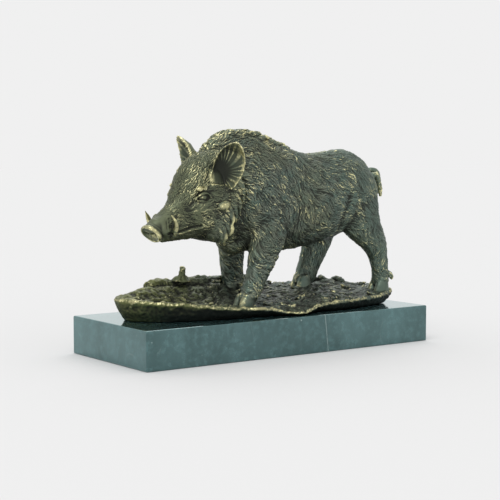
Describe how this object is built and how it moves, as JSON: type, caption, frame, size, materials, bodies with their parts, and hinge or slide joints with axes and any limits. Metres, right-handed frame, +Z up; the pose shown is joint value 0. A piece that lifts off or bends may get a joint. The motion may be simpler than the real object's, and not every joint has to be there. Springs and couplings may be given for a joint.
{
  "type": "animal sculpture",
  "caption": "Bronze wild boar striding over rough ground, head turned to its left, on a rectangular polished dark green marble plinth.",
  "frame": {"origin": "middle of the plinth's underside", "axes": "+Z up, +X along the plinth towards the boar's tail, so the boar faces -X and its left side is towards -Y"},
  "size_m": [0.275, 0.112, 0.1769],
  "materials": {
    "bronze": "dark green-brown patina, rubbed golden on the high points",
    "marble": "polished dark green with fine pale veins"
  },
  "bodies": {
    "root": {"bronze_boar": "bronze", "marble_plinth": "marble"}
  },
  "joints": []
}
